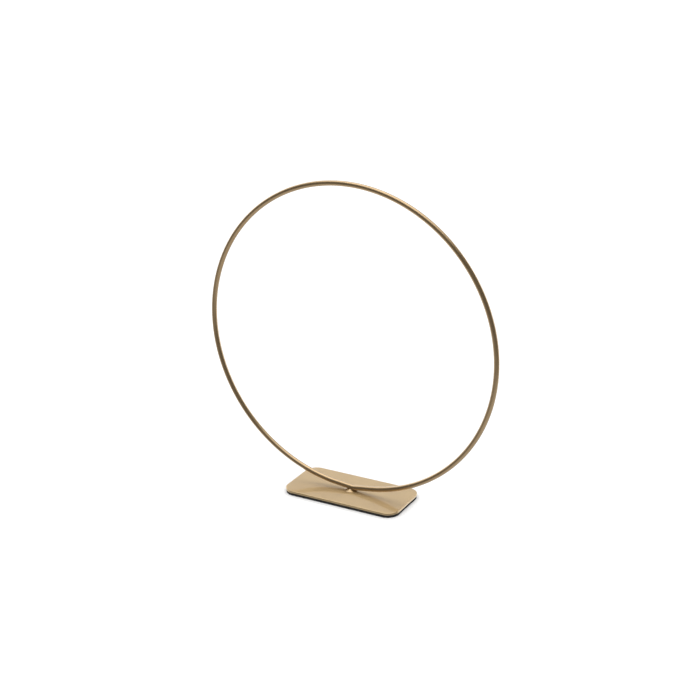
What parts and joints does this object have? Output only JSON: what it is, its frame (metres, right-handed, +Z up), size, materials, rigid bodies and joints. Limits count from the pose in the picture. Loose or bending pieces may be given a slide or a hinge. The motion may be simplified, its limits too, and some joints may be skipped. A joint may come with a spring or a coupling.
{
  "type": "craft hoop on stand",
  "caption": "Upright round craft hoop of satin gold rod that swivels on a flat rectangular gold foot with a black non-slip pad.",
  "frame": {"origin": "on the floor under the middle of the foot", "axes": "+Z up; X along the foot's length and across the hoop's plane from side to side; Y through the hoop, front at -Y"},
  "size_m": [0.3, 0.058, 0.3062],
  "materials": {
    "hoop_gold": "satin metallic gold",
    "foot_gold": "satin metallic gold, fine texture",
    "boss_gold": "satin metallic gold",
    "black_foam": "matt closed-cell foam",
    "film": "matt",
    "zinc": "zinc plated"
  },
  "bodies": {
    "foot": {"foot_plate": "foot_gold", "adhesive_film": "film", "foot_pad": "black_foam", "plain_washer": "zinc"},
    "hoop": {"hoop_rod": "hoop_gold", "butt_weld": "hoop_gold", "flared_boss": "boss_gold", "fixing_screw": "zinc"}
  },
  "joints": [
    {"name": "hoop_swivel", "type": "hinge", "parent": "foot", "child": "hoop", "pos_m": [0, 0, 0.0048], "axis": [0, 0, 1], "continuous": true}
  ]
}
